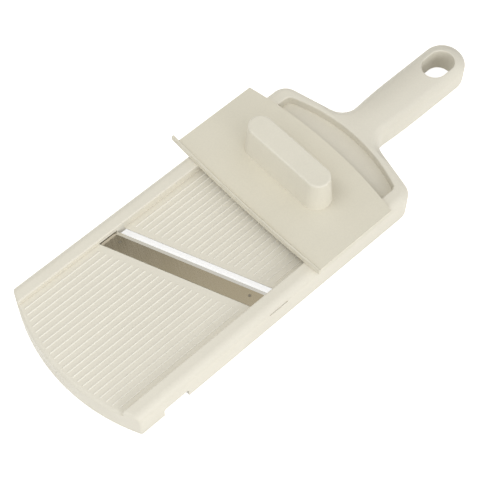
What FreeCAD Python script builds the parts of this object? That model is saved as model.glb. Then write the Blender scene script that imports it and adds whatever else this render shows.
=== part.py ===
import FreeCAD, Part
import math
import os
import Sketcher
from FreeCAD import Vector

# Mandoline slicer: one moulded frame with a fixed slanted blade, and a hand guard that slides on its rails.
# Millimetres. X runs across the frame, Y from the nose to the handle, Z up from the table.
# The origin is on the frame's centre plane, on the standing face under the shoulders.

os.makedirs("parts", exist_ok=True)
doc = FreeCAD.newDocument("mandoline_slicer")

# Driving sizes
SIZES = [
    ("body_width", 95.0, "across the outer walls of the frame"),
    ("rail_top", 17.0, "height of the rails above the table"),
    ("rail_width", 8.8, "each rail, from the channel to the outer wall"),
    ("rail_round", 4.2, "rounding of the outer top edge, all the way round the handle"),
    ("rail_inner_round", 0.8, "rounding of the rail's inner top edge"),
    ("wall", 2.2, "thickness of the outer walls"),
    ("body_length", 181.9, "from the shoulder's corner to the front end of the outer walls"),
    ("nose_radius", 104.5, "bow of the nose in plan"),
    ("nose_rim_round", 1.6, "rounding of the nose's corners"),
    ("bed_front_round", 1.6, "rounding of the lower bed's front edge"),
    ("shoulder_y", -1.8, "sharp corner of the shoulder, before rounding"),
    ("shoulder_round", 9.0, "rounding of the shoulder in plan"),
    ("neck_y", 7.4, "where the shoulder meets the handle"),
    ("neck_width", 20.4, "handle width at the neck"),
    ("neck_round", 10.0, "rounding between the shoulder and the handle"),
    ("belly_length", 31.6, "from the neck to where the handle stops widening"),
    ("belly_width", 23.8, "handle width there"),
    ("belly_radius", 307.0, "bow of the handle's sides up to there"),
    ("handle_width", 24.0, "handle width at its end"),
    ("handle_length", 75.6, "from the neck to the tip of the handle"),
    ("handle_tip_round", 11.8, "rounding of the handle's end in plan"),
    ("handle_bottom", 1.2, "height of the handle's underside above the table"),
    ("handle_under_round", 2.8, "rounding of the handle's lower edge"),
    ("handle_under_y", 10.0, "where the raised underside of the handle begins"),
    ("hang_hole_inset", 16.2, "centre of the hanging hole from the tip"),
    ("hang_hole_width", 14.0, "width of the hanging hole"),
    ("hang_hole_straight", 5.6, "straight length of the hanging hole"),
    ("hang_hole_round", 0.6, "rounding of the hole's upper rim"),
    ("hang_hole_under_round", 1.6, "rounding of the hole's lower rim"),
    ("lower_bed_top", 13.8, "bed on the nose side of the blade"),
    ("lower_bed_thick", 2.6, "thickness of that bed"),
    ("upper_bed_top", 11.6, "bed on the handle side of the blade"),
    ("upper_bed_thick", 2.4, "thickness of that bed"),
    ("recess_corner_y", -6.6, "side end of the channel near the handle"),
    ("recess_radius", 98.0, "bow of the channel's end wall"),
    ("recess_corner_round", 3.4, "rounding of the channel's end corners"),
    ("hollow_back_y", -10.0, "rear end of the hollow under the frame"),
    ("rail_hollow_skin", 3.6, "plastic left above the hollow of each rail"),
    ("rail_hollow_wall", 2.9, "plastic outside the hollow of each rail"),
    ("rail_web", 2.2, "plastic between the channel and the hollow of each rail"),
    ("blade_angle", 22.2, "slant of the blade from square across"),
    ("blade_edge_y", -109.14, "cutting edge on the centre line"),
    ("blade_width", 10.33, "blade, square to its edge"),
    ("blade_thick", 0.8, "blade"),
    ("blade_sink", 0.3, "blade face below the lower bed"),
    ("blade_bevel", 2.0, "width of the ground bevel"),
    ("blade_edge_thick", 0.2, "what the bevel leaves at the edge"),
    ("blade_tongue", 3.6, "length of blade inside the left rail"),
    ("blade_end_gap", 0.7, "blade end inside the right wall's outer face"),
    ("blade_clearance", 0.15, "gap round the blade in its slots"),
    ("heel_gap", 0.45, "groove between the blade's back and the lower bed"),
    ("slot_headroom", 0.6, "slot above the blade in the left rail"),
    ("blade_overhang", 2.6, "blade edge beyond the seat that carries it"),
    ("throat_gap", 4.06, "opening in front of the blade edge, square to it"),
    ("throat_land", 0.4, "height of the upper bed's front edge above its sloped underside"),
    ("throat_relief", 1.8, "slope under the upper bed's front edge, along the bed"),
    ("pin_x", 32.9, "blade pins from the centre line"),
    ("pin_radius", 0.75, "blade pins"),
    ("pin_clearance", 0.05, "gap round the blade pins"),
    ("pin_floor", 0.5, "plastic left under the blade pins"),
    ("rib_count", 22, "ridges on each bed"),
    ("rib_pitch", 3.355, "spacing of the ridges"),
    ("rib_width", 0.7, "width of a ridge at its foot"),
    ("rib_height", 0.28, "height of a ridge"),
    ("rib_crest", 0.25, "width of a ridge at its top"),
    ("rib_nose_margin", 2.5, "plain border at the nose"),
    ("rib_blade_margin", 4.5, "plain border between the ridges and the blade, along Y"),
    ("rib_throat_margin", 3.1, "plain border between the throat and the ridges, along Y"),
    ("rib_back_y", -26.0, "rear end of the upper bed's ridges"),
    ("notch_inset", 14.2, "front of the bowl notches from the front end of the walls"),
    ("notch_length", 15.5, "bowl notches along the wall"),
    ("notch_height", 6.0, "bowl notches"),
    ("notch_round", 1.6, "upper corners of the bowl notches"),
    ("guard_left", 55.7, "guard's left edge from the centre line"),
    ("guard_right", 48.0, "guard's right edge from the centre line"),
    ("guard_front_y", -70.2, "front face of the guard's lip"),
    ("guard_side_y", -18.9, "rear end of the guard's sides"),
    ("guard_front_radius", 1100.0, "bow of the guard's front edge"),
    ("guard_back_radius", 263.0, "bow of the guard's rear edge"),
    ("guard_thick", 2.0, "guard plate"),
    ("glide_height", 0.3, "gliding strips under the guard plate"),
    ("glide_width", 2.0, "gliding strips"),
    ("glide_inset", 1.1, "strip from the channel's edge"),
    ("runner_clearance", 0.4, "each runner to the channel's side"),
    ("runner_width", 2.0, "runner ribs under the guard"),
    ("runner_lift", 0.4, "runner above the ridges of the lower bed"),
    ("runner_end_gap", 5.0, "runner from the guard's front and sides' rear end"),
    ("lip_height", 1.5, "lip above the guard plate"),
    ("lip_thick", 1.3, "lip, front to back"),
    ("lip_left_reach", 3.7, "lip beyond the plate's left side"),
    ("lip_right_reach", 0.9, "lip beyond the plate's right side"),
    ("lip_fillet", 0.9, "hollow between the plate and the lip"),
    ("lip_round", 0.45, "rounding of the lip's top"),
    ("knob_x", -3.7, "centre of the knob"),
    ("knob_y", -40.8, "centre of the knob"),
    ("knob_length", 56.9, "knob at its foot"),
    ("knob_width", 16.2, "knob at its foot"),
    ("knob_height", 19.3, "knob above the plate"),
    ("knob_draft", 1.6, "how far each side leans in over the height"),
    ("knob_round", 1.1, "rounding of the knob's top edge"),
    ("knob_wall", 2.2, "wall of the hollow knob"),
    ("boss_radius", 3.4, "screw bosses inside the knob"),
    ("screw_spacing", 28.0, "between the knob's two screws"),
    ("screw_radius", 1.5, "screw shanks"),
    ("screw_clearance", 0.05, "gap round the screw shanks"),
    ("screw_length", 10.0, "screw shanks under the head"),
    ("screw_head_radius", 2.7, "screw heads"),
    ("screw_head_height", 1.5, "screw heads"),
    ("spike_columns", 5, "food pins in each row"),
    ("spike_pitch", 11.5, "food pins along a row"),
    ("spike_row_offset", 12.5, "each row from the knob's centre line"),
    ("spike_radius", 0.8, "food pins"),
    ("spike_seat", 1.2, "depth of a food pin in the plate"),
    ("spike_boss_radius", 2.0, "rings that carry the food pins"),
    ("spike_boss_height", 0.8, "rings that carry the food pins"),
    ("spike_point", 1.5, "length of a food pin's point"),
]
sheet = doc.addObject("Spreadsheet::Sheet", "sizes")
for row, (alias, number, note) in enumerate(SIZES, start=1):
    sheet.set("A%d" % row, note)
    sheet.set("B%d" % row, str(number))
    sheet.setAlias("B%d" % row, alias)
doc.recompute()


def size(alias):
    return float(sheet.get(alias))


# Helpers
HALF = "half circle"


def new_body(name):
    body = doc.addObject("PartDesign::Body", name)
    body.Label = name
    return body


def origin_plane(body, role):
    return [feature for feature in body.Origin.OriginFeatures if feature.Role == role][0]


def new_sketch(body, name, role="XY_Plane", offset=None):
    sketch = body.newObject("Sketcher::SketchObject", name)
    sketch.AttachmentSupport = [(origin_plane(body, role), "")]
    sketch.MapMode = "FlatFace"
    if offset:
        sketch.setExpression("AttachmentOffset.Base.z", offset)
    return sketch


def number_of(sketch, expression):
    value = sketch.evalExpression(expression)
    return float(getattr(value, "Value", value))


def pin_point(sketch, geometry, point, expressions):
    for kind, expression in zip(("DistanceX", "DistanceY"), expressions):
        value = number_of(sketch, expression)
        index = sketch.addConstraint(Sketcher.Constraint(kind, geometry, point, value))
        sketch.setExpression("Constraints[%d]" % index, expression)


def arc_between(start, end, radius, inward=False):
    """An arc that bulges to the right of the way from start to end, or inward to its left."""
    chord = end - start
    outward = Vector(chord.y, -chord.x, 0).normalize() * (-1 if inward else 1)
    half = chord.Length / 2
    rise = radius - math.sqrt(max(radius * radius - half * half, 0))
    middle = (start + end) * 0.5 + outward * rise
    return Part.Arc(end, middle, start) if inward else Part.Arc(start, middle, end)


def draw_outline(sketch, corners, arcs=None, inward=()):
    """Closed outline through corners given as expressions; arcs = {side: radius}, HALF for a half circle."""
    arcs = arcs or {}
    points = [Vector(number_of(sketch, x), number_of(sketch, y), 0) for x, y in corners]
    ends = []
    for side, start in enumerate(points):
        finish = points[(side + 1) % len(points)]
        if side in arcs:
            half_chord = start.distanceToPoint(finish) / 2
            radius = half_chord if arcs[side] == HALF else number_of(sketch, arcs[side])
            index = sketch.addGeometry(arc_between(start, finish, radius, side in inward), False)
            begins = sketch.Geometry[index].StartPoint.distanceToPoint(start) < 1e-6
            ends.append((index, 1 if begins else 2, 2 if begins else 1))
        else:
            index = sketch.addGeometry(Part.LineSegment(start, finish), False)
            ends.append((index, 1, 2))
    for side, (index, first, last) in enumerate(ends):
        following = ends[(side + 1) % len(ends)]
        joint = "Tangent" if arcs.get(side) == HALF else "Coincident"
        sketch.addConstraint(Sketcher.Constraint(joint, index, last, following[0], following[1]))
    for (index, first, last), corner in zip(ends, corners):
        pin_point(sketch, index, first, corner)
    for side, radius in arcs.items():
        if radius == HALF:
            continue
        index = sketch.addConstraint(Sketcher.Constraint("Radius", ends[side][0], number_of(sketch, radius)))
        sketch.setExpression("Constraints[%d]" % index, radius)


def draw_circle(sketch, centre, radius):
    place = Vector(number_of(sketch, centre[0]), number_of(sketch, centre[1]), 0)
    circle = Part.Circle(place, Vector(0, 0, 1), number_of(sketch, radius))
    index = sketch.addGeometry(circle, False)
    pin_point(sketch, index, 3, centre)
    constraint = sketch.addConstraint(Sketcher.Constraint("Radius", index, number_of(sketch, radius)))
    sketch.setExpression("Constraints[%d]" % constraint, radius)


def draw_obround(sketch, centre, half_straight, radius, along="x"):
    """A slot with round ends: two arcs and two lines, held by its four tangent points."""
    cx, cy = centre
    signs = [(-1, -1), (1, -1), (1, 1), (-1, 1)]
    corners = []
    for a, b in signs:
        if along == "x":
            corners.append(("%s + %d * %s" % (cx, a, half_straight), "%s + %d * %s" % (cy, b, radius)))
        else:
            corners.append(("%s - %d * %s" % (cx, b, radius), "%s + %d * %s" % (cy, a, half_straight)))
    draw_outline(sketch, corners, {1: HALF, 3: HALF})


def pad(body, sketch, length, name, reverse=False):
    feature = body.newObject("PartDesign::Pad", name)
    feature.Profile = sketch
    feature.setExpression("Length", length)
    feature.Reversed = reverse
    sketch.Visibility = False
    doc.recompute()
    return feature


def pocket(body, sketch, name, length=None, upward=False, both_ways=False):
    """Cuts down from the sketch by length, or right through; upward cuts up from it."""
    feature = body.newObject("PartDesign::Pocket", name)
    feature.Profile = sketch
    if length:
        feature.setExpression("Length", length)
    else:
        feature.Type = "ThroughAll"
    feature.Midplane = both_ways
    feature.Reversed = upward
    sketch.Visibility = False
    doc.recompute()
    return feature


def round_edges(body, base, keep, radius, name):
    """Rounds the edges of base that the test keep accepts."""
    names = ["Edge%d" % (i + 1) for i, edge in enumerate(base.Shape.Edges) if keep(edge)]
    feature = body.newObject("PartDesign::Fillet", name)
    feature.Base = (base, names)
    feature.setExpression("Radius", radius)
    doc.recompute()
    return feature


def is_upright(edge):
    ends = edge.Vertexes
    return len(ends) == 2 and abs(ends[0].X - ends[1].X) + abs(ends[0].Y - ends[1].Y) < 1e-4


def lies_at(edge, height):
    return abs(edge.BoundBox.ZMin - height) + abs(edge.BoundBox.ZMax - height) < 1e-4


def near(value, target, slack=0.02):
    return abs(value - target) < slack


# Lines across the slant of the blade, as heights on the centre line plus X times the slope
SLOPE = "tan(sizes.blade_angle * 1deg)"
ALONG_Y = "cos(sizes.blade_angle * 1deg)"
EDGE = "sizes.blade_edge_y"
HEEL = "(sizes.blade_edge_y - sizes.blade_width / %s)" % ALONG_Y
SEAT_END = "(sizes.blade_edge_y - sizes.blade_overhang / %s)" % ALONG_Y
THROAT = "(sizes.blade_edge_y + sizes.throat_gap / %s)" % ALONG_Y
HALF_BODY = "sizes.body_width / 2"
NOSE_Y = "(sizes.shoulder_y - sizes.body_length)"
BELLY_Y = "(sizes.neck_y + sizes.belly_length)"
TIP_Y = "(sizes.neck_y + sizes.handle_length)"
HOLE_Y = "(sizes.neck_y + sizes.handle_length - sizes.hang_hole_inset)"
NOTCH_FRONT = "(sizes.shoulder_y - sizes.body_length + sizes.notch_inset)"
NOTCH_BACK = "(sizes.shoulder_y - sizes.body_length + sizes.notch_inset + sizes.notch_length)"
CHANNEL = "(sizes.body_width / 2 - sizes.rail_width)"


def on_line(line, x):
    return "%s + (%s) * %s" % (line, x, SLOPE)


def slanted_strip(low_line, high_line, left, right):
    """Corners of a strip between two slanted lines, with ends parallel to the rails."""
    return [
        (left, on_line(low_line, left)),
        (right, on_line(low_line, right)),
        (right, on_line(high_line, right)),
        (left, on_line(high_line, left)),
    ]


# Frame: outline of nose, walls, shoulders and handle
frame = new_body("frame")
outline = new_sketch(frame, "frame_outline")
draw_outline(
    outline,
    [
        ("-" + HALF_BODY, NOSE_Y),
        (HALF_BODY, NOSE_Y),
        (HALF_BODY, "sizes.shoulder_y"),
        ("sizes.neck_width / 2", "sizes.neck_y"),
        ("sizes.belly_width / 2", BELLY_Y),
        ("sizes.handle_width / 2", TIP_Y),
        ("-sizes.handle_width / 2", TIP_Y),
        ("-sizes.belly_width / 2", BELLY_Y),
        ("-sizes.neck_width / 2", "sizes.neck_y"),
        ("-" + HALF_BODY, "sizes.shoulder_y"),
    ],
    {0: "sizes.nose_radius", 3: "sizes.belly_radius", 7: "sizes.belly_radius"},
)
block = pad(frame, outline, "sizes.rail_top", "frame_block")
corner_y = size("shoulder_y") - size("body_length")
shoulder_y = size("shoulder_y")
neck_y = size("neck_y")
block = round_edges(
    frame, block,
    lambda e: is_upright(e) and near(e.Vertexes[0].Y, shoulder_y),
    "sizes.shoulder_round", "shoulder_rounds")
block = round_edges(
    frame, block,
    lambda e: is_upright(e) and near(e.Vertexes[0].Y, neck_y),
    "sizes.neck_round", "neck_rounds")
tip_y = neck_y + size("handle_length")
block = round_edges(
    frame, block,
    lambda e: is_upright(e) and near(e.Vertexes[0].Y, tip_y),
    "sizes.handle_tip_round", "handle_tip_rounds")

# Frame: raised underside of the handle, and the rounding that runs along rails, shoulders and handle
under = new_sketch(frame, "handle_underside")
draw_outline(under, [
    ("-" + HALF_BODY, "sizes.handle_under_y"),
    (HALF_BODY, "sizes.handle_under_y"),
    (HALF_BODY, TIP_Y + " + sizes.handle_width"),
    ("-" + HALF_BODY, TIP_Y + " + sizes.handle_width"),
])
block = pocket(frame, under, "handle_lift", "sizes.handle_bottom", upward=True)
rail_top = size("rail_top")
handle_bottom = size("handle_bottom")
under_y = size("handle_under_y")
block = round_edges(
    frame, block,
    lambda e: lies_at(e, rail_top) and not near(e.BoundBox.YMax, corner_y),
    "sizes.rail_round", "rail_rounds")
block = round_edges(
    frame, block,
    lambda e: lies_at(e, handle_bottom) and e.BoundBox.YMax > under_y + 0.1,
    "sizes.handle_under_round", "handle_under_rounds")
half_body = size("body_width") / 2
bow_centre = corner_y + math.sqrt(size("nose_radius") ** 2 - half_body ** 2)


def on_nose(edge):
    """Edges of the bowed front face, apart from its standing edge."""
    reaches = [math.hypot(end.X, end.Y - bow_centre) for end in edge.Vertexes]
    in_front = edge.BoundBox.YMax < shoulder_y and edge.BoundBox.ZMax > handle_bottom
    return in_front and all(near(reach, size("nose_radius")) for reach in reaches)


block = round_edges(frame, block, on_nose, "sizes.nose_rim_round", "nose_rim")

# Frame: hanging hole through the handle, with rounded rims
hole = new_sketch(frame, "hang_hole_outline")
draw_obround(hole, ("0", HOLE_Y), "(sizes.hang_hole_straight / 2)",
             "(sizes.hang_hole_width / 2)", along="y")
block = pocket(frame, hole, "hang_hole", upward=True)
hole_y = tip_y - size("hang_hole_inset")
hole_reach = size("hang_hole_width") / 2 + size("hang_hole_straight") / 2 + 0.1


def is_hole_rim(edge, height):
    box = edge.BoundBox
    return lies_at(edge, height) and max(abs(box.XMax), abs(box.XMin)) < hole_reach \
        and box.YMin > hole_y - hole_reach and box.YMax < hole_y + hole_reach


block = round_edges(
    frame, block, lambda e: is_hole_rim(e, rail_top), "sizes.hang_hole_round", "hang_hole_rim")
block = round_edges(
    frame, block, lambda e: is_hole_rim(e, handle_bottom), "sizes.hang_hole_under_round", "hang_hole_under_rim")

# Frame: channel between the rails, with the bed lower on the handle side of the blade
FAR_FRONT = "(%s - sizes.nose_radius)" % NOSE_Y
lower = new_sketch(frame, "lower_channel", offset="sizes.rail_top")
draw_outline(lower, [
    ("-" + CHANNEL, FAR_FRONT),
    (CHANNEL, FAR_FRONT),
    (CHANNEL, on_line(THROAT, CHANNEL)),
    ("-" + CHANNEL, on_line(THROAT, "-" + CHANNEL)),
])
block = pocket(frame, lower, "lower_bed", "sizes.rail_top - sizes.lower_bed_top")
upper = new_sketch(frame, "upper_channel", offset="sizes.rail_top")
draw_outline(
    upper,
    [
        ("-" + CHANNEL, on_line(THROAT, "-" + CHANNEL)),
        (CHANNEL, on_line(THROAT, CHANNEL)),
        (CHANNEL, "sizes.recess_corner_y"),
        ("-" + CHANNEL, "sizes.recess_corner_y"),
    ],
    {2: "sizes.recess_radius"},
)
block = pocket(frame, upper, "upper_bed", "sizes.rail_top - sizes.upper_bed_top")
recess_y = size("recess_corner_y")
block = round_edges(
    frame, block,
    lambda e: is_upright(e) and near(e.Vertexes[0].Y, recess_y),
    "sizes.recess_corner_round", "recess_corners")

# Frame: hollow underside, deeper below the lower bed and inside the rails
INSIDE = "(sizes.body_width / 2 - sizes.wall)"
NOSE_INSIDE = "(%s + sizes.wall)" % NOSE_Y
hollow = new_sketch(frame, "underside")
draw_outline(
    hollow,
    [
        ("-" + INSIDE, NOSE_INSIDE),
        (INSIDE, NOSE_INSIDE),
        (INSIDE, "sizes.hollow_back_y"),
        ("-" + INSIDE, "sizes.hollow_back_y"),
    ],
    {0: "sizes.nose_radius"},
)
block = pocket(frame, hollow, "underside_hollow",
               "sizes.upper_bed_top - sizes.upper_bed_thick", upward=True)
deep = new_sketch(frame, "lower_bed_underside")
BED_INSIDE = "(%s - sizes.rail_web)" % CHANNEL
draw_outline(
    deep,
    [
        ("-" + BED_INSIDE, NOSE_INSIDE),
        (BED_INSIDE, NOSE_INSIDE),
        (BED_INSIDE, on_line(SEAT_END, BED_INSIDE)),
        ("-" + BED_INSIDE, on_line(SEAT_END, "-" + BED_INSIDE)),
    ],
    {0: "sizes.nose_radius"},
)
block = pocket(frame, deep, "lower_bed_hollow",
               "sizes.lower_bed_top - sizes.lower_bed_thick", upward=True)
RAIL_INSIDE = "(%s + sizes.rail_web)" % CHANNEL
RAIL_OUTSIDE = "(sizes.body_width / 2 - sizes.rail_hollow_wall)"
for hand, sign in (("left", "-"), ("right", "")):
    groove = new_sketch(frame, hand + "_rail_underside")
    draw_outline(groove, [
        (sign + RAIL_INSIDE, NOSE_Y + " + 2 * sizes.wall"),
        (sign + RAIL_OUTSIDE, NOSE_Y + " + 2 * sizes.wall"),
        (sign + RAIL_OUTSIDE, "sizes.hollow_back_y - sizes.wall"),
        (sign + RAIL_INSIDE, "sizes.hollow_back_y - sizes.wall"),
    ])
    block = pocket(frame, groove, hand + "_rail_hollow",
                   "sizes.rail_top - sizes.rail_hollow_skin", upward=True)

# Frame: blade seat, slot through both rails, open throat and pin holes
half_channel = half_body - size("rail_width")
BLADE_TOP = "(sizes.lower_bed_top - sizes.blade_sink)"
BLADE_BOTTOM = "(sizes.lower_bed_top - sizes.blade_sink - sizes.blade_thick)"
HEEL_GAP = "(%s - sizes.heel_gap)" % HEEL
EDGE_GAP = "(%s + sizes.blade_clearance)" % EDGE
seat = new_sketch(frame, "blade_seat", offset="sizes.rail_top")
draw_outline(seat, slanted_strip(HEEL_GAP, THROAT, "-" + CHANNEL, CHANNEL))
block = pocket(frame, seat, "blade_seat_cut", "sizes.rail_top - " + BLADE_BOTTOM)
slot = new_sketch(frame, "blade_slot", offset=BLADE_TOP + " + sizes.blade_clearance")
LEFT_END = "(-%s - sizes.blade_tongue - 2 * sizes.blade_clearance)" % CHANNEL
RIGHT_END = "(%s + sizes.wall)" % HALF_BODY
draw_outline(slot, slanted_strip(HEEL_GAP, EDGE_GAP, LEFT_END, RIGHT_END))
block = pocket(frame, slot, "blade_slot_cut", "sizes.blade_thick + sizes.blade_clearance")
head = new_sketch(frame, "left_slot", offset=BLADE_TOP + " + sizes.slot_headroom")
draw_outline(head, slanted_strip(HEEL_GAP, EDGE_GAP, LEFT_END, "-" + CHANNEL))
block = pocket(frame, head, "left_slot_cut", "sizes.slot_headroom")
throat = new_sketch(frame, "throat", offset="sizes.rail_top")
draw_outline(throat, slanted_strip(SEAT_END, THROAT, "-" + CHANNEL, CHANNEL))
block = pocket(frame, throat, "throat_cut")
slope = math.tan(math.radians(size("blade_angle")))
throat_y = size("blade_edge_y") + size("throat_gap") / math.cos(math.radians(size("blade_angle")))
upper_floor = size("upper_bed_top") - size("upper_bed_thick")
names = [
    "Edge%d" % (i + 1) for i, e in enumerate(block.Shape.Edges)
    if lies_at(e, upper_floor) and e.Length > half_channel
    and near(e.CenterOfMass.y, throat_y + slope * e.CenterOfMass.x)
]
relief = frame.newObject("PartDesign::Chamfer", "throat_underside")
relief.Base = (block, names)
relief.ChamferType = "Two distances"
relief.setExpression("Size", "sizes.throat_relief")
relief.setExpression("Size2", "sizes.upper_bed_thick - sizes.throat_land")
doc.recompute()
block = relief
PIN_LINE = "(sizes.blade_edge_y - sizes.blade_width / 2 / %s)" % ALONG_Y
PIN_PLACES = [(x, on_line(PIN_LINE, x)) for x in ("-sizes.pin_x", "sizes.pin_x")]
LEDGE = "(%s - sizes.lower_bed_top + sizes.lower_bed_thick)" % BLADE_BOTTOM
pin_holes = new_sketch(frame, "pin_holes", offset=BLADE_BOTTOM)
for place in PIN_PLACES:
    draw_circle(pin_holes, place, "sizes.pin_radius + sizes.pin_clearance")
block = pocket(frame, pin_holes, "pin_hole_cuts", "%s - sizes.pin_floor" % LEDGE)

# Frame: notches in both walls that hook over a bowl
notch = new_sketch(frame, "bowl_notches", "YZ_Plane")
draw_outline(notch, [
    (NOTCH_FRONT, "-sizes.wall"),
    (NOTCH_BACK, "-sizes.wall"),
    (NOTCH_BACK, "sizes.notch_height"),
    (NOTCH_FRONT, "sizes.notch_height"),
])
block = pocket(frame, notch, "bowl_notch_cuts", "sizes.body_width * 2", both_ways=True)
notch_top = size("notch_height")
notch_front = corner_y + size("notch_inset")
notch_ends = (notch_front, notch_front + size("notch_length"))
block = round_edges(
    frame, block,
    lambda e: lies_at(e, notch_top) and e.BoundBox.YLength < 1e-4
    and any(near(e.BoundBox.YMin, y) for y in notch_ends),
    "sizes.notch_round", "notch_corners")

# Frame: ridges along both beds; the lower ones follow the bow of the nose and stop short of the blade
nose_reach = size("nose_radius") - size("rib_nose_margin")
heel_y = size("blade_edge_y") - size("blade_width") / math.cos(math.radians(size("blade_angle")))
rib_total = int(size("rib_count"))
lower_ribs = new_sketch(frame, "lower_ridges", offset="sizes.lower_bed_top")
upper_ribs = new_sketch(frame, "upper_ridges", offset="sizes.upper_bed_top")
for number in range(rib_total):
    x = (number - (rib_total - 1) / 2) * size("rib_pitch")
    spans = (
        (lower_ribs, bow_centre - math.sqrt(nose_reach ** 2 - x * x),
         heel_y + slope * x - size("rib_blade_margin")),
        (upper_ribs, throat_y + slope * x + size("rib_throat_margin"), size("rib_back_y")),
    )
    for sketch, start, stop in spans:
        half = size("rib_width") / 2
        ring = [Vector(x - half, start, 0), Vector(x + half, start, 0),
                Vector(x + half, stop, 0), Vector(x - half, stop, 0)]
        for corner in range(4):
            sketch.addGeometry(Part.LineSegment(ring[corner], ring[(corner + 1) % 4]), False)
RIB_TAPER = "-atan((sizes.rib_width - sizes.rib_crest) / 2 / sizes.rib_height)"
for ridges, label in ((lower_ribs, "lower_ridge_pads"), (upper_ribs, "upper_ridge_pads")):
    block = pad(frame, ridges, "sizes.rib_height", label)
    block.setExpression("TaperAngle", RIB_TAPER)
    doc.recompute()

# Frame: rounding of the rails' inner edges
block = round_edges(
    frame, block,
    lambda e: lies_at(e, rail_top) and e.BoundBox.YMax < neck_y and e.Length > size("rail_width")
    and (near(e.BoundBox.XMax, -half_channel) or near(e.BoundBox.XMin, half_channel)),
    "sizes.rail_inner_round", "rail_inner_rounds")

# Frame: rounded front edge of the lower bed, turned about the centre of the nose's bow
lower_top = size("lower_bed_top")
BOW_Y = "(%s + sqrt(sizes.nose_radius ^ 2 - (%s) ^ 2))" % (NOSE_Y, HALF_BODY)
FRONT_Y = "(%s - sizes.nose_radius)" % BOW_Y
rim = new_sketch(frame, "bed_front", "YZ_Plane")
draw_outline(
    rim,
    [
        (FRONT_Y + " - sizes.wall", "sizes.lower_bed_top + sizes.wall"),
        (FRONT_Y + " - sizes.wall", "sizes.lower_bed_top - sizes.bed_front_round"),
        (FRONT_Y, "sizes.lower_bed_top - sizes.bed_front_round"),
        (FRONT_Y + " + sizes.bed_front_round", "sizes.lower_bed_top"),
        (FRONT_Y + " + sizes.bed_front_round", "sizes.lower_bed_top + sizes.wall"),
    ],
    {2: "sizes.bed_front_round"},
    inward=(2,),
)
axis = rim.addGeometry(Part.LineSegment(Vector(bow_centre, 0, 0), Vector(bow_centre, rail_top, 0)), True)
pin_point(rim, axis, 1, (BOW_Y, "0"))
pin_point(rim, axis, 2, (BOW_Y, "sizes.rail_top"))
block = frame.newObject("PartDesign::Groove", "bed_front_rim")
block.Profile = rim
block.ReferenceAxis = (rim, ["Axis0"])
block.Midplane = True
block.setExpression("Angle", "2 * asin(%s / sizes.nose_radius)" % CHANNEL)
rim.Visibility = False
doc.recompute()
frame.Tip = block
doc.recompute()

# Blade: slanted steel strip, ground on its upper side towards the handle
blade = new_body("blade")
BLADE_LEFT = "(-%s - sizes.blade_tongue)" % CHANNEL
BLADE_RIGHT = "(%s - sizes.blade_end_gap)" % HALF_BODY
strip = new_sketch(blade, "blade_outline", offset=BLADE_BOTTOM)
draw_outline(strip, slanted_strip(HEEL, EDGE, BLADE_LEFT, BLADE_RIGHT))
steel = pad(blade, strip, "sizes.blade_thick", "blade_strip")
blade_top = lower_top - size("blade_sink")
edge_y = size("blade_edge_y")
names = [
    "Edge%d" % (i + 1) for i, e in enumerate(steel.Shape.Edges)
    if lies_at(e, blade_top) and e.Length > half_channel
    and near(e.CenterOfMass.y, edge_y + slope * e.CenterOfMass.x)
]
bevel = blade.newObject("PartDesign::Chamfer", "ground_bevel")
bevel.Base = (steel, names)
bevel.ChamferType = "Two distances"
bevel.FlipDirection = True
bevel.setExpression("Size", "sizes.blade_bevel")
bevel.setExpression("Size2", "sizes.blade_thick - sizes.blade_edge_thick")
doc.recompute()
pierced = new_sketch(blade, "blade_holes", offset=BLADE_TOP)
for place in PIN_PLACES:
    draw_circle(pierced, place, "sizes.pin_radius + sizes.pin_clearance")
pocket(blade, pierced, "blade_hole_cuts")


def compound(name, members):
    group = doc.addObject("Part::Compound", name)
    group.Links = members
    group.Label = name
    for member in members:
        member.Visibility = False
    return group


def cylinder(name, radius, height, place):
    solid = doc.addObject("Part::Cylinder", name)
    solid.setExpression("Radius", radius)
    solid.setExpression("Height", height)
    for axis, expression in zip("xyz", place):
        solid.setExpression("Placement.Base." + axis, expression)
    return solid


# Blade pins: two short pins that locate the blade on its seat
PIN_FOOT = "(sizes.lower_bed_top - sizes.lower_bed_thick + sizes.pin_floor)"
pins = [
    cylinder("blade_pin_%d" % (i + 1), "sizes.pin_radius", "%s - %s" % (BLADE_TOP, PIN_FOOT), place + (PIN_FOOT,))
    for i, place in enumerate(PIN_PLACES)
]
compound("blade_pins", pins)

# Guard plate: flat plate with a bowed rear edge, an upturned lip and runners between the rails
guard = new_body("guard_plate")
PLATE_BOTTOM = "(sizes.rail_top + sizes.glide_height)"
PLATE_TOP = "(sizes.rail_top + sizes.glide_height + sizes.guard_thick)"
plate_sketch = new_sketch(guard, "guard_outline", offset=PLATE_BOTTOM)
draw_outline(
    plate_sketch,
    [
        ("-sizes.guard_left", "sizes.guard_front_y"),
        ("sizes.guard_right", "sizes.guard_front_y"),
        ("sizes.guard_right", "sizes.guard_side_y"),
        ("-sizes.guard_left", "sizes.guard_side_y"),
    ],
    {0: "sizes.guard_front_radius", 2: "sizes.guard_back_radius"},
)
plate = pad(guard, plate_sketch, "sizes.guard_thick", "guard_sheet")
lip_sketch = new_sketch(guard, "lip_outline", offset=PLATE_BOTTOM)
draw_outline(lip_sketch, [
    ("-sizes.guard_left - sizes.lip_left_reach", "sizes.guard_front_y"),
    ("sizes.guard_right + sizes.lip_right_reach", "sizes.guard_front_y"),
    ("sizes.guard_right + sizes.lip_right_reach", "sizes.guard_front_y + sizes.lip_thick"),
    ("-sizes.guard_left - sizes.lip_left_reach", "sizes.guard_front_y + sizes.lip_thick"),
], {0: "sizes.guard_front_radius", 2: "sizes.guard_front_radius"}, inward=(2,))
plate = pad(guard, lip_sketch, "sizes.guard_thick + sizes.lip_height", "lip")
plate_top = rail_top + size("glide_height") + size("guard_thick")
lip_back = size("guard_front_y") + size("lip_thick")
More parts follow.
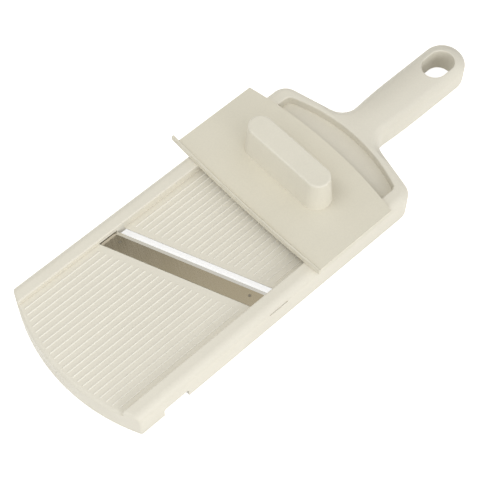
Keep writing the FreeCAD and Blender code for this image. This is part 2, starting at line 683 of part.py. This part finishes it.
plate = round_edges(
    guard, plate,
    lambda e: lies_at(e, plate_top) and e.BoundBox.YMax < lip_back + 0.1 and e.Length > size("guard_left"),
    "sizes.lip_fillet", "lip_hollow")
lip_top = plate_top + size("lip_height")
plate = round_edges(guard, plate, lambda e: lies_at(e, lip_top), "sizes.lip_round", "lip_rounds")
RUNNER_OUT = "(%s - sizes.runner_clearance)" % CHANNEL
RUNNER_IN = "(%s - sizes.runner_width)" % RUNNER_OUT
RUNNER_FRONT = "(sizes.guard_front_y + sizes.runner_end_gap)"
RUNNER_BACK = "(sizes.guard_side_y - sizes.runner_end_gap)"
RUNNER_DEPTH = "(%s - sizes.lower_bed_top - sizes.rib_height - sizes.runner_lift)" % PLATE_BOTTOM
GLIDE_IN = "(%s + sizes.glide_inset)" % CHANNEL
GLIDE_OUT = "(%s + sizes.glide_width)" % GLIDE_IN
for label, inner, outer, depth in (
    ("runner", RUNNER_IN, RUNNER_OUT, RUNNER_DEPTH),
    ("glide", GLIDE_IN, GLIDE_OUT, "sizes.glide_height"),
):
    strips = new_sketch(guard, label + "_outline", offset=PLATE_BOTTOM)
    for sign in ("-", ""):
        draw_outline(strips, [
            (sign + inner, RUNNER_FRONT),
            (sign + outer, RUNNER_FRONT),
            (sign + outer, RUNNER_BACK),
            (sign + inner, RUNNER_BACK),
        ])
    plate = pad(guard, strips, depth, label + "_strips", reverse=True)

# Guard plate: screw holes, and rings with blind seats for the food pins
SCREW_PLACES = [("sizes.knob_x %s sizes.screw_spacing / 2" % sign, "sizes.knob_y") for sign in "-+"]
columns = int(size("spike_columns"))
SPIKE_PLACES = [
    ("sizes.knob_x + %s * sizes.spike_pitch" % (column - (columns - 1) / 2),
     "sizes.knob_y %s sizes.spike_row_offset" % sign)
    for sign in "-+" for column in range(columns)
]
rings = new_sketch(guard, "food_pin_rings", offset=PLATE_BOTTOM)
for place in SPIKE_PLACES:
    draw_circle(rings, place, "sizes.spike_boss_radius")
plate = pad(guard, rings, "sizes.spike_boss_height", "food_pin_ring_pads", reverse=True)
seats = new_sketch(guard, "food_pin_seats", offset=PLATE_BOTTOM + " - sizes.spike_boss_height")
for place in SPIKE_PLACES:
    draw_circle(seats, place, "sizes.spike_radius")
plate = pocket(guard, seats, "food_pin_seat_cuts", "sizes.spike_boss_height + sizes.spike_seat", upward=True)
screw_holes = new_sketch(guard, "screw_holes", offset=PLATE_TOP)
for place in SCREW_PLACES:
    draw_circle(screw_holes, place, "sizes.screw_radius + sizes.screw_clearance")
plate = pocket(guard, screw_holes, "screw_hole_cuts", "sizes.guard_thick * 2")

# Guard knob: drafted round-ended block, hollow from below with two screw bosses
knob = new_body("guard_knob")
KNOB_CENTRE = ("sizes.knob_x", "sizes.knob_y")
HALF_STRAIGHT = "((sizes.knob_length - sizes.knob_width) / 2)"
foot = new_sketch(knob, "knob_foot", offset=PLATE_TOP)
draw_obround(foot, KNOB_CENTRE, HALF_STRAIGHT, "(sizes.knob_width / 2)")
grip = pad(knob, foot, "sizes.knob_height", "knob_block")
grip.setExpression("TaperAngle", "-atan(sizes.knob_draft / sizes.knob_height)")
doc.recompute()
knob_top = plate_top + size("knob_height")
grip = round_edges(knob, grip, lambda e: lies_at(e, knob_top), "sizes.knob_round", "knob_top_round")
cavity = new_sketch(knob, "knob_cavity", offset=PLATE_TOP)
draw_obround(cavity, KNOB_CENTRE, HALF_STRAIGHT,
             "(sizes.knob_width / 2 - sizes.knob_draft - sizes.knob_wall)")
grip = pocket(knob, cavity, "knob_hollow", "sizes.knob_height - sizes.knob_wall", upward=True)
bosses = new_sketch(knob, "screw_bosses", offset=PLATE_TOP)
for place in SCREW_PLACES:
    draw_circle(bosses, place, "sizes.boss_radius")
grip = pad(knob, bosses, "sizes.knob_height - sizes.knob_wall / 2", "screw_boss_pads")
bores = new_sketch(knob, "boss_bores", offset=PLATE_TOP)
for place in SCREW_PLACES:
    draw_circle(bores, place, "sizes.screw_radius + sizes.screw_clearance")
grip = pocket(knob, bores, "boss_bore_cuts", "sizes.screw_length - sizes.guard_thick + 1", upward=True)

# Knob screws: pan heads under the plate, shanks up into the bosses
screws = []
for i, place in enumerate(SCREW_PLACES):
    head_foot = "%s - sizes.screw_head_height" % PLATE_BOTTOM
    head = cylinder("screw_head_%d" % (i + 1), "sizes.screw_head_radius", "sizes.screw_head_height",
                    place + (head_foot,))
    shank = cylinder("screw_shank_%d" % (i + 1), "sizes.screw_radius",
                     "sizes.screw_length + sizes.screw_head_height", place + (head_foot,))
    screw = doc.addObject("Part::MultiFuse", "screw_%d" % (i + 1))
    screw.Shapes = [head, shank]
    screw.Refine = True
    screws.append(screw)
compound("knob_screws", screws)

# Food pins: short pointed pins seated in the guard plate
spikes = []
RING_FACE = "(%s - sizes.spike_boss_height)" % PLATE_BOTTOM
for i, place in enumerate(SPIKE_PLACES):
    stem = cylinder("food_pin_stem_%d" % (i + 1), "sizes.spike_radius",
                    "sizes.spike_boss_height + sizes.spike_seat", place + (RING_FACE,))
    point = doc.addObject("Part::Cone", "food_pin_point_%d" % (i + 1))
    point.setExpression("Radius1", "sizes.spike_radius / 8")
    point.setExpression("Radius2", "sizes.spike_radius")
    point.setExpression("Height", "sizes.spike_point")
    for axis, expression in zip("xyz", place + (RING_FACE + " - sizes.spike_point",)):
        point.setExpression("Placement.Base." + axis, expression)
    spike = doc.addObject("Part::MultiFuse", "food_pin_%d" % (i + 1))
    spike.Shapes = [stem, point]
    spike.Refine = True
    spikes.append(spike)
compound("food_pins", spikes)
doc.recompute()

# Check every object, then write one file per sub-part
NODES = ["frame", "blade", "blade_pins", "guard_plate", "guard_knob", "knob_screws", "food_pins"]
for item in doc.Objects:
    if "Invalid" in item.State or "Error" in item.State:
        raise RuntimeError("%s is %s" % (item.Name, item.State))
for node in NODES:
    item = doc.getObject(node)
    if item.Shape.isNull() or not item.Shape.isValid():
        raise RuntimeError("%s has no valid shape" % node)
    box = item.Shape.BoundBox
    print("%-12s solids %2d faces %4d volume %10.1f  x %.1f..%.1f y %.1f..%.1f z %.1f..%.1f" % (
        node, len(item.Shape.Solids), len(item.Shape.Faces), item.Shape.Volume,
        box.XMin, box.XMax, box.YMin, box.YMax, box.ZMin, box.ZMax))
    item.Shape.exportStep("parts/%s.step" % node)
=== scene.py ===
import math

import bpy
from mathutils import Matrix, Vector

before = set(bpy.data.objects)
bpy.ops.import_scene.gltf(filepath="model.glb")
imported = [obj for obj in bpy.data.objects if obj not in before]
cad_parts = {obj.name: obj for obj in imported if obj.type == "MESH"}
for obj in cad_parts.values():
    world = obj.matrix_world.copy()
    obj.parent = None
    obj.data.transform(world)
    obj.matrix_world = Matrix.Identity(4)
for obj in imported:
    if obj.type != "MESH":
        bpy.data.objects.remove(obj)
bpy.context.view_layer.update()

# Finishes: colours, and how matt each piece is
IVORY = (0.767, 0.726, 0.622)
# painted highlight tone for the ridge crests
IVORY_CREST_HIGHLIGHT = (0.86, 0.83, 0.74)
IVORY_GUARD = (0.742, 0.698, 0.578)
IVORY_KNOB = (0.764, 0.724, 0.614)
STEEL_WARM = (0.68, 0.64, 0.57)
# painted highlight tone for the blade's bevel and edges
STEEL_BEVEL_HIGHLIGHT = (0.86, 0.85, 0.81)
STEEL_DULL = (0.38, 0.35, 0.30)
STEEL_PLAIN = (0.58, 0.57, 0.55)
FRAME_MATT = 0.46
GUARD_MATT = 0.48
KNOB_MATT = 0.46
BLADE_MATT = 0.16
PIN_MATT = 0.34
SCREW_MATT = 0.32
FOOD_PIN_MATT = 0.30
CLOUDINESS = 0.025

# Places on the slicer, in metres, and the blade's angle across it
BLADE_SLANT = math.radians(22.2)
BED_TOPS = (0.0138, 0.0116)
RIDGE_FLANK = (0.00006, 0.0002)
RIDGE_CREST = (0.0003, 0.00036)
RIDGED_HALF_WIDTH = (0.0364, 0.0368)
GRIP_ROOT = (0.002, 0.022)
GRIP_TIP_CENTRE = 0.0705
GRIP_CROWN = 20.0

# Room, floor and lamps
ROOM_LIGHT = 0.765
ROOM_COLOUR = (0.98, 0.99, 1.0)
PATCH_TOWARDS = (-0.5964, 0.298, 0.7455)
PATCH_EDGE = (0.87, 0.95)
PATCH_EDGE_LIGHT = 0.77
PATCH_CORE = (0.970, 0.982)
PATCH_CORE_LIGHT = 0.12
PATCH_COLOUR = (1.0, 0.905, 0.68)
FLOOR_SIZE = 6.0
FLOOR_DROP = 0.0003
FLOOR_COLOUR = (0.74, 0.73, 0.70)
FLOOR_GLOW = 0.8
SLICER_MIDDLE = (0.0, -0.06, 0.01)
LOWER_BED_MIDDLE = (0.0, -0.15, 0.01)

# Camera at the photograph's angle, for a square picture
CAMERA_TARGET = Vector((0.00097, -0.0782, 0.0))
CAMERA_BACK = Vector((0.3704, -0.3423, 0.8635)).normalized()
CAMERA_DISTANCE = 0.6955
FOCAL_PIXELS = 1367.87
PICTURE_PIXELS = 480.0
SENSOR_WIDTH = 36.0

# Colour sockets of a Mix node, which share their names with its other sockets
MIX_FIRST, MIX_SECOND, MIX_RESULT = 6, 7, 2


# Node helpers: a value is either another node's socket or a constant
def put(tree, kind, **settings):
    node = tree.nodes.new(kind)
    for name, value in settings.items():
        setattr(node, name, value)
    return node


def feed(tree, socket, value):
    if isinstance(value, bpy.types.NodeSocket):
        tree.links.new(value, socket)
    else:
        socket.default_value = value


def opaque(colour):
    return colour + (1.0,)


def new_group(name, inputs, outputs):
    group = bpy.data.node_groups.new(name, "ShaderNodeTree")
    for label, kind, value in inputs:
        socket = group.interface.new_socket(name=label, in_out="INPUT", socket_type=kind)
        socket.default_value = value
    for label, kind in outputs:
        group.interface.new_socket(name=label, in_out="OUTPUT", socket_type=kind)
    return group, put(group, "NodeGroupInput"), put(group, "NodeGroupOutput")


def noise(tree, vector, scale, detail, roughness=0.5):
    node = put(tree, "ShaderNodeTexNoise")
    node.inputs["Scale"].default_value = scale
    node.inputs["Detail"].default_value = detail
    node.inputs["Roughness"].default_value = roughness
    tree.links.new(vector, node.inputs["Vector"])
    return node.outputs["Fac"]


def spread(tree, value, to, over=(0.3, 0.7)):
    node = put(tree, "ShaderNodeMapRange")
    node.inputs["From Min"].default_value, node.inputs["From Max"].default_value = over
    node.inputs["To Min"].default_value, node.inputs["To Max"].default_value = to
    tree.links.new(value, node.inputs["Value"])
    return node.outputs["Result"]


def arithmetic(tree, operation, first, second=0.0):
    node = put(tree, "ShaderNodeMath", operation=operation)
    feed(tree, node.inputs[0], first)
    feed(tree, node.inputs[1], second)
    return node.outputs[0]


def added(tree, first, second):
    return arithmetic(tree, "ADD", first, second)


def multiplied(tree, first, second):
    return arithmetic(tree, "MULTIPLY", first, second)


def larger(tree, first, second):
    return arithmetic(tree, "MAXIMUM", first, second)


def split(tree, output):
    node = put(tree, "ShaderNodeSeparateXYZ")
    tree.links.new(put(tree, "ShaderNodeTexCoord").outputs[output], node.inputs[0])
    return node.outputs


def stretched(tree, vector, scale):
    node = put(tree, "ShaderNodeMapping")
    node.inputs["Scale"].default_value = scale
    tree.links.new(vector, node.inputs["Vector"])
    return node.outputs["Vector"]


def shaded(tree, colour, value):
    node = put(tree, "ShaderNodeHueSaturation")
    tree.links.new(colour, node.inputs["Color"])
    tree.links.new(value, node.inputs["Value"])
    return node.outputs["Color"]


def mixed_colour(tree, mask, first, second):
    node = put(tree, "ShaderNodeMix", data_type="RGBA")
    tree.links.new(mask, node.inputs["Factor"])
    feed(tree, node.inputs[MIX_FIRST], first)
    feed(tree, node.inputs[MIX_SECOND], second)
    return node.outputs[MIX_RESULT]


def mixed_shader(tree, mask, first, second):
    node = put(tree, "ShaderNodeMixShader")
    tree.links.new(mask, node.inputs[0])
    tree.links.new(first.outputs[0], node.inputs[1])
    tree.links.new(second.outputs[0], node.inputs[2])
    return node.outputs[0]


SURFACE_OUTPUTS = [
    ("Colour", "NodeSocketColor"),
    ("Roughness", "NodeSocketFloat"),
    ("Height", "NodeSocketFloat"),
]


# Moulded plastic: slow clouds and faint flow streaks in the pigment, small flecks,
# and the fine spark texture of the tool
def build_moulded_grain():
    group, given, made = new_group(
        "moulded_grain",
        [
            ("Colour", "NodeSocketColor", opaque(IVORY)),
            ("Cloudiness", "NodeSocketFloat", CLOUDINESS),
            ("Gloss", "NodeSocketFloat", FRAME_MATT),
        ],
        SURFACE_OUTPUTS,
    )
    where = put(group, "ShaderNodeTexCoord").outputs["Object"]
    cloud = noise(group, where, scale=26.0, detail=3.0)
    along_flow = stretched(group, where, (90.0, 9.0, 40.0))
    flow = noise(group, along_flow, scale=1.0, detail=2.0)
    pigment = added(group, multiplied(group, cloud, 0.7), multiplied(group, flow, 0.3))
    shift = spread(group, pigment, to=(1.0, -1.0))
    change = multiplied(group, shift, given.outputs["Cloudiness"])
    fleck = spread(group, noise(group, where, scale=1100.0, detail=2.0), to=(0.984, 1.016))
    colour = shaded(group, given.outputs["Colour"], added(group, change, fleck))
    group.links.new(colour, made.inputs["Colour"])
    patch = spread(group, noise(group, where, scale=60.0, detail=4.0), to=(-0.05, 0.05))
    group.links.new(added(group, given.outputs["Gloss"], patch), made.inputs["Roughness"])
    spark = noise(group, where, scale=2600.0, detail=2.0, roughness=0.6)
    group.links.new(spark, made.inputs["Height"])
    return group


# Ground steel: fine scratches that run along the strip, and slow stains in the polish
def build_ground_lines():
    group, given, made = new_group(
        "ground_lines",
        [
            ("Colour", "NodeSocketColor", opaque(STEEL_PLAIN)),
            ("Turn", "NodeSocketFloat", 0.0),
            ("Gloss", "NodeSocketFloat", BLADE_MATT),
        ],
        SURFACE_OUTPUTS,
    )
    where = put(group, "ShaderNodeTexCoord").outputs["Object"]
    turned = put(group, "ShaderNodeVectorRotate", rotation_type="Z_AXIS")
    group.links.new(where, turned.inputs["Vector"])
    group.links.new(given.outputs["Turn"], turned.inputs["Angle"])
    along_strip = stretched(group, turned.outputs["Vector"], (40.0, 5200.0, 5200.0))
    lines = noise(group, along_strip, scale=1.0, detail=3.0, roughness=0.65)
    stain = noise(group, where, scale=45.0, detail=3.0)
    lightness = added(
        group, spread(group, lines, to=(0.94, 1.04)), spread(group, stain, to=(-0.04, 0.04))
    )
    group.links.new(shaded(group, given.outputs["Colour"], lightness), made.inputs["Colour"])
    dull = added(
        group, spread(group, lines, to=(-0.04, 0.06)), spread(group, stain, to=(-0.03, 0.04))
    )
    group.links.new(added(group, given.outputs["Gloss"], dull), made.inputs["Roughness"])
    group.links.new(lines, made.inputs["Height"])
    return group


MOULDED_GRAIN = build_moulded_grain()
GROUND_LINES = build_ground_lines()


# Materials
def finish_with(name, effect, values, metallic, bump, depth):
    material = bpy.data.materials.new(name)
    material.use_nodes = True
    tree = material.node_tree
    shader = tree.nodes["Principled BSDF"]
    surface = put(tree, "ShaderNodeGroup")
    surface.node_tree = effect
    for label, value in values.items():
        surface.inputs[label].default_value = value
    relief = put(tree, "ShaderNodeBump")
    relief.inputs["Strength"].default_value = bump
    relief.inputs["Distance"].default_value = depth
    tree.links.new(surface.outputs["Height"], relief.inputs["Height"])
    tree.links.new(surface.outputs["Colour"], shader.inputs["Base Color"])
    tree.links.new(surface.outputs["Roughness"], shader.inputs["Roughness"])
    tree.links.new(relief.outputs["Normal"], shader.inputs["Normal"])
    shader.inputs["Metallic"].default_value = metallic
    return material


def moulded_plastic(name, colour, matt):
    values = {"Colour": opaque(colour), "Gloss": matt, "Cloudiness": CLOUDINESS}
    material = finish_with(name, MOULDED_GRAIN, values, metallic=0.0, bump=0.05, depth=0.00004)
    shader = material.node_tree.nodes["Principled BSDF"]
    shader.inputs["IOR"].default_value = 1.49
    shader.inputs["Specular IOR Level"].default_value = 0.42
    return material


def ground_steel(name, colour, matt, turn=0.0):
    values = {"Colour": opaque(colour), "Gloss": matt, "Turn": turn}
    return finish_with(name, GROUND_LINES, values, metallic=1.0, bump=0.12, depth=0.00003)


# Second tone over part of a finish: the mask is a value from 0 to 1
def tone_over(material, mask, colour):
    tree = material.node_tree
    base = tree.nodes["Principled BSDF"].inputs["Base Color"]
    tone = mixed_colour(tree, mask, base.links[0].from_socket, opaque(colour))
    tree.links.new(tone, base)


# Painted highlight on the crests of the ridges: a lighter tone on the upward-facing crests of
# both beds, standing in for the light they catch
def paint_crest_highlights(material):
    tree = material.node_tree
    x, _, z = split(tree, "Object")
    _, _, upward = split(tree, "Normal")
    bands = []
    for bed in BED_TOPS:
        above = arithmetic(tree, "SUBTRACT", z, bed)
        flank = spread(tree, above, to=(0.0, 1.0), over=RIDGE_FLANK)
        crest = spread(tree, above, to=(1.0, 0.0), over=RIDGE_CREST)
        bands.append(multiplied(tree, flank, crest))
    sideways = arithmetic(tree, "ABSOLUTE", x)
    inside = spread(tree, sideways, to=(1.0, 0.0), over=RIDGED_HALF_WIDTH)
    facing_up = spread(tree, upward, to=(0.0, 1.0), over=(0.35, 0.55))
    mask = multiplied(tree, multiplied(tree, larger(tree, *bands), inside), facing_up)
    tone_over(material, mask, IVORY_CREST_HIGHLIGHT)
    return material


# Soft crown of the grip, which falls away to both sides and round the tip
def crown_grip(material):
    tree = material.node_tree
    x, y, _ = split(tree, "Object")
    past_tip = larger(tree, arithmetic(tree, "SUBTRACT", y, GRIP_TIP_CENTRE), 0.0)
    fall = added(tree, multiplied(tree, x, x), multiplied(tree, past_tip, past_tip))
    fade = spread(tree, y, to=(0.0, -GRIP_CROWN), over=GRIP_ROOT)
    crown = put(tree, "ShaderNodeBump")
    crown.inputs["Distance"].default_value = 1.0
    crown.inputs["Strength"].default_value = 1.0
    tree.links.new(multiplied(tree, fall, fade), crown.inputs["Height"])
    grain = tree.nodes["Principled BSDF"].inputs["Normal"].links[0].from_node
    tree.links.new(crown.outputs["Normal"], grain.inputs["Normal"])
    return material


# Painted highlight on the blade: a brighter tone on the bevel and every face that tilts away
# from the flat, standing in for the white light the bevel reflects
def paint_bevel_highlight(material):
    tree = material.node_tree
    _, _, upward = split(tree, "Normal")
    tone_over(material, spread(tree, upward, to=(1.0, 0.0), over=(0.95, 0.99)), STEEL_BEVEL_HIGHLIGHT)
    return material


def dress(node, material):
    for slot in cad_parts[node].material_slots:
        slot.material = material


def dress_slicer():
    ivory_frame = moulded_plastic("ivory_frame", IVORY, FRAME_MATT)
    dress("frame", crown_grip(paint_crest_highlights(ivory_frame)))
    dress("guard_plate", moulded_plastic("ivory_guard", IVORY_GUARD, GUARD_MATT))
    dress("guard_knob", moulded_plastic("ivory_knob", IVORY_KNOB, KNOB_MATT))
    dress("blade", paint_bevel_highlight(ground_steel("blade_steel", STEEL_WARM, BLADE_MATT, BLADE_SLANT)))
    dress("blade_pins", ground_steel("pin_steel", STEEL_DULL, PIN_MATT))
    dress("knob_screws", ground_steel("screw_steel", STEEL_PLAIN, SCREW_MATT))
    dress("food_pins", ground_steel("food_pin_steel", STEEL_PLAIN, FOOD_PIN_MATT))


# Floor: pale, white to the camera and in reflections, with a trace of the slicer's shadow
def white_where_seen(tree):
    path = put(tree, "ShaderNodeLightPath").outputs
    seen = larger(tree, path["Is Camera Ray"], path["Is Glossy Ray"])
    return larger(tree, seen, path["Is Transmission Ray"])


def build_floor():
    bpy.ops.object.select_all(action="DESELECT")
    bpy.ops.mesh.primitive_plane_add(size=FLOOR_SIZE, location=(0.0, 0.0, -FLOOR_DROP))
    floor = bpy.context.object
    floor.name = "pale_floor"
    bpy.ops.object.transform_apply(location=True, rotation=True, scale=True)
    material = bpy.data.materials.new("pale_floor")
    material.use_nodes = True
    tree = material.node_tree
    tree.nodes.clear()
    output = put(tree, "ShaderNodeOutputMaterial")
    matt = put(tree, "ShaderNodeBsdfDiffuse")
    matt.inputs["Color"].default_value = opaque(FLOOR_COLOUR)
    glow = put(tree, "ShaderNodeEmission")
    glow.inputs["Strength"].default_value = FLOOR_GLOW
    whitened = put(tree, "ShaderNodeAddShader")
    tree.links.new(matt.outputs[0], whitened.inputs[0])
    tree.links.new(glow.outputs[0], whitened.inputs[1])
    surface = mixed_shader(tree, white_where_seen(tree), matt, whitened)
    tree.links.new(surface, output.inputs["Surface"])
    floor.data.materials.append(material)


# World: even white room with one dim, warm patch behind on the left, which the blade mirrors
def build_world():
    world = bpy.data.worlds.new("studio")
    bpy.context.scene.world = world
    world.use_nodes = True
    tree = world.node_tree
    tree.nodes.clear()
    output = put(tree, "ShaderNodeOutputWorld")
    dot = put(tree, "ShaderNodeVectorMath", operation="DOT_PRODUCT")
    tree.links.new(put(tree, "ShaderNodeTexCoord").outputs["Generated"], dot.inputs[0])
    dot.inputs[1].default_value = PATCH_TOWARDS
    nearness = dot.outputs["Value"]
    inside = spread(tree, nearness, to=(0.0, 1.0), over=PATCH_EDGE)
    edge = spread(tree, inside, to=(ROOM_LIGHT, PATCH_EDGE_LIGHT * ROOM_LIGHT), over=(0.0, 1.0))
    core = spread(tree, nearness, to=(1.0, PATCH_CORE_LIGHT), over=PATCH_CORE)
    room = put(tree, "ShaderNodeBackground")
    tone = mixed_colour(tree, inside, opaque(ROOM_COLOUR), opaque(PATCH_COLOUR))
    tree.links.new(tone, room.inputs["Color"])
    tree.links.new(multiplied(tree, edge, core), room.inputs["Strength"])
    white = put(tree, "ShaderNodeBackground")
    white.inputs["Strength"].default_value = 1.0
    seen = put(tree, "ShaderNodeLightPath").outputs["Is Camera Ray"]
    tree.links.new(mixed_shader(tree, seen, room, white), output.inputs["Surface"])


def softbox(name, place, aim, width, height, power, colour):
    lamp = bpy.data.lights.new(name, "AREA")
    lamp.shape = "RECTANGLE"
    lamp.size = width
    lamp.size_y = height
    lamp.energy = power
    lamp.color = colour
    holder = bpy.data.objects.new(name, lamp)
    bpy.context.scene.collection.objects.link(holder)
    holder.location = place
    holder.rotation_euler = (Vector(aim) - Vector(place)).to_track_quat("-Z", "Y").to_euler()


def build_lamps():
    softbox(
        "low_right", place=(1.25, -0.30, 0.40), aim=SLICER_MIDDLE,
        width=1.0, height=0.6, power=6.0, colour=(0.98, 0.99, 1.0),
    )
    softbox(
        "over_the_nose", place=(-0.10, -0.26, 0.55), aim=LOWER_BED_MIDDLE,
        width=0.24, height=0.24, power=0.62, colour=(0.95, 0.98, 1.0),
    )


def build_camera():
    data = bpy.data.cameras.new("photo_camera")
    data.sensor_fit = "HORIZONTAL"
    data.sensor_width = SENSOR_WIDTH
    data.lens = SENSOR_WIDTH * FOCAL_PIXELS / PICTURE_PIXELS
    data.clip_start = 0.01
    data.clip_end = 20.0
    holder = bpy.data.objects.new("photo_camera", data)
    bpy.context.scene.collection.objects.link(holder)
    holder.location = CAMERA_TARGET + CAMERA_BACK * CAMERA_DISTANCE
    holder.rotation_euler = (-CAMERA_BACK).to_track_quat("-Z", "Y").to_euler()
    bpy.context.scene.camera = holder


dress_slicer()
build_floor()
build_world()
build_lamps()
build_camera()
bpy.context.scene.view_settings.view_transform = "Standard"
